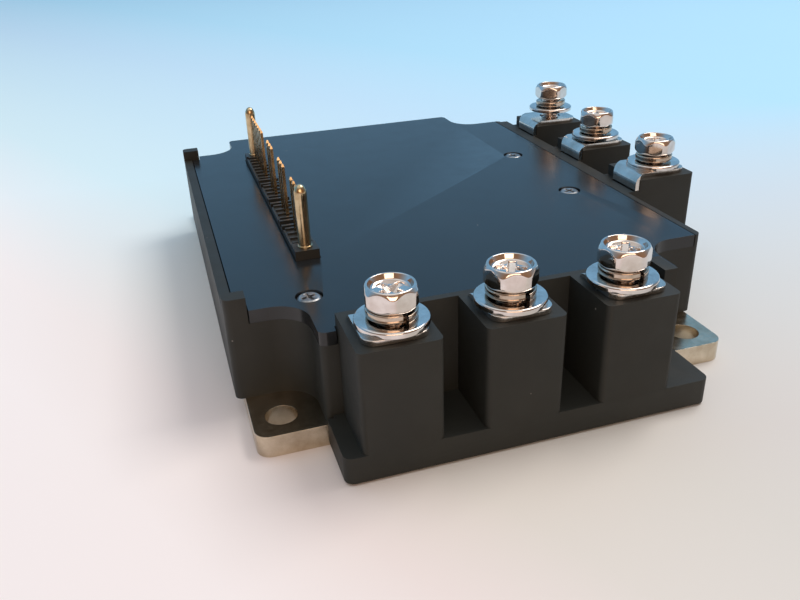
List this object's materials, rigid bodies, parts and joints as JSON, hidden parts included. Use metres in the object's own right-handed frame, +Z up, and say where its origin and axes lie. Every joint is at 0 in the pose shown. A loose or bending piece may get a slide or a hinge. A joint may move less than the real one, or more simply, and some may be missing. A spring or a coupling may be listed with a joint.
{
  "type": "igbt module",
  "caption": "Power semiconductor module: moulded case on a metal base plate, screw terminal rows on two sides and a control pin header",
  "frame": {"origin": "centre of the base plate's lower face, which is also the centre of the mounting hole pattern", "axes": "+X along the near row of screw terminals, away from the control header; +Y from that row across the case; +Z up, out of the lid"},
  "size_m": [0.1077, 0.1309, 0.0346],
  "materials": {
    "nickel_plated_copper": "plated, satin",
    "moulded_plastic": "fine moulded grain",
    "lid_plastic": "semi-gloss",
    "nickel_plated_bar": "plated, satin",
    "zinc_plated_steel": "plated",
    "nickel_plated_steel": "bright plated",
    "spring_steel": "plated",
    "washer_steel": "plated",
    "screw_steel": "plated",
    "header_plastic": "smooth",
    "gilt_brass": "plated",
    "gilt_pins": "plated",
    "circuit_board": "solder mask",
    "chip_plastic": "moulded",
    "lead_brass": "plated",
    "copper": "rolled foil",
    "white_ceramic": "fired",
    "silicon": "metallised",
    "ribbon_aluminium": "drawn",
    "gel": "clear soft gel"
  },
  "bodies": {
    "root": {"base_plate": "nickel_plated_copper", "case": "moulded_plastic", "lid": "lid_plastic", "terminal_bar_near_1": "nickel_plated_bar", "terminal_bar_near_2": "nickel_plated_bar", "terminal_bar_near_3": "nickel_plated_bar", "terminal_bar_right_1": "nickel_plated_bar", "terminal_bar_right_2": "nickel_plated_bar", "terminal_bar_right_3": "nickel_plated_bar", "terminal_nuts": "zinc_plated_steel", "terminal_screws": "nickel_plated_steel", "spring_washers": "spring_steel", "flat_washers": "washer_steel", "cover_screws": "screw_steel", "pin_header": "header_plastic", "guide_pin_near": "gilt_brass", "guide_pin_far": "gilt_brass", "control_pins_1": "gilt_pins", "control_pins_2": "gilt_pins", "control_pins_3": "gilt_pins", "control_pins_4": "gilt_pins", "control_board": "circuit_board", "driver_chips": "chip_plastic", "signal_leads": "lead_brass", "copper_backing_1": "copper", "copper_backing_2": "copper", "copper_backing_3": "copper", "copper_backing_4": "copper", "ceramic_tile_1": "white_ceramic", "ceramic_tile_2": "white_ceramic", "ceramic_tile_3": "white_ceramic", "ceramic_tile_4": "white_ceramic", "copper_tracks_1": "copper", "copper_tracks_2": "copper", "copper_tracks_3": "copper", "copper_tracks_4": "copper", "igbt_chips_1": "silicon", "igbt_chips_2": "silicon", "igbt_chips_3": "silicon", "igbt_chips_4": "silicon", "diode_chips_1": "silicon", "diode_chips_2": "silicon", "diode_chips_3": "silicon", "diode_chips_4": "silicon", "bond_ribbons_1": "ribbon_aluminium", "bond_ribbons_2": "ribbon_aluminium", "bond_ribbons_3": "ribbon_aluminium", "bond_ribbons_4": "ribbon_aluminium", "silicone_gel": "gel"}
  },
  "joints": []
}
